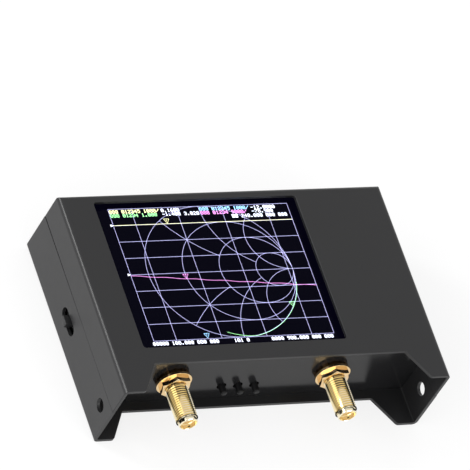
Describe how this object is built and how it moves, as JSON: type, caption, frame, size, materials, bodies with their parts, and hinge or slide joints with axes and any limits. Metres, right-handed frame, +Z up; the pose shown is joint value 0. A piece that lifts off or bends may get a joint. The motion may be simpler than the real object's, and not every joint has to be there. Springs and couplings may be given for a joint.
{
  "type": "antenna analyzer",
  "caption": "Handheld antenna analyzer: folded black steel case with a large touch screen, two gold coaxial jacks, push buttons on the front and a slide switch on the side.",
  "frame": {"origin": "middle of the case's underside", "axes": "+X to the right, seen from the front where the jacks are; +Y to the back; +Z up"},
  "size_m": [0.1047, 0.069, 0.025],
  "materials": {
    "case_paint": "satin black powder paint",
    "panel_paint": "satin black paint",
    "nickel": "nickel plated",
    "black_screw": "black oxide",
    "main_board": "solder mask",
    "white_frame": "moulded",
    "lcd": "glossy",
    "touch_glass": "clear",
    "foam": "closed-cell foam",
    "black_plastic": "moulded",
    "tin": "tin plated",
    "pouch": "laminated foil",
    "lead": "insulated",
    "white_plastic": "moulded",
    "chip": "moulded",
    "gold": "gold plated, bright",
    "washer": "gold plated, dark",
    "ptfe": "smooth",
    "button": "moulded"
  },
  "bodies": {
    "case": {"backlight": "white_frame", "battery": "pouch", "battery_leads": "lead", "battery_pad": "foam", "battery_plug": "white_plastic", "bottom_cover": "case_paint", "button_domes": "tin", "button_switch_centre": "black_plastic", "button_switch_left": "black_plastic", "button_switch_right": "black_plastic", "clamping_screws": "black_screw", "cover_posts": "nickel", "display_board": "main_board", "flat_washer_left": "gold", "flat_washer_right": "gold", "front_panel": "panel_paint", "header_socket": "black_plastic", "header_strip": "black_plastic", "hex_nut_left": "gold", "hex_nut_right": "gold", "jack_body_left": "gold", "jack_body_right": "gold", "jack_contact_left": "gold", "jack_contact_right": "gold", "jack_insulator_left": "ptfe", "jack_insulator_right": "ptfe", "lcd_panel": "lcd", "lock_washer_left": "washer", "lock_washer_right": "washer", "lower_spacers": "nickel", "main_board": "main_board", "middle_spacers": "nickel", "power_switch_base": "black_plastic", "power_switch_shell": "tin", "processor": "chip", "screen_gasket": "foam", "shield_can_left": "tin", "shield_can_right": "tin", "socket_shell": "tin", "socket_tongue": "black_plastic", "synthesizer_chips": "chip", "top_cover": "case_paint", "touch_glass": "touch_glass"},
    "button_left": {"button_left": "button"},
    "button_centre": {"button_centre": "button"},
    "button_right": {"button_right": "button"},
    "power_switch": {"power_switch_lever": "black_plastic"}
  },
  "joints": [
    {"name": "button_left_press", "type": "slide", "parent": "case", "child": "button_left", "axis": [0, 1, 0], "range_m": [0, 0.00035], "stiffness_N_per_m": 3000},
    {"name": "button_centre_press", "type": "slide", "parent": "case", "child": "button_centre", "axis": [0, 1, 0], "range_m": [0, 0.00035], "stiffness_N_per_m": 3000},
    {"name": "button_right_press", "type": "slide", "parent": "case", "child": "button_right", "axis": [0, 1, 0], "range_m": [0, 0.00035], "stiffness_N_per_m": 3000},
    {"name": "power_switch_slide", "type": "slide", "parent": "case", "child": "power_switch", "axis": [0, 1, 0], "range_m": [0, 0.002]}
  ]
}
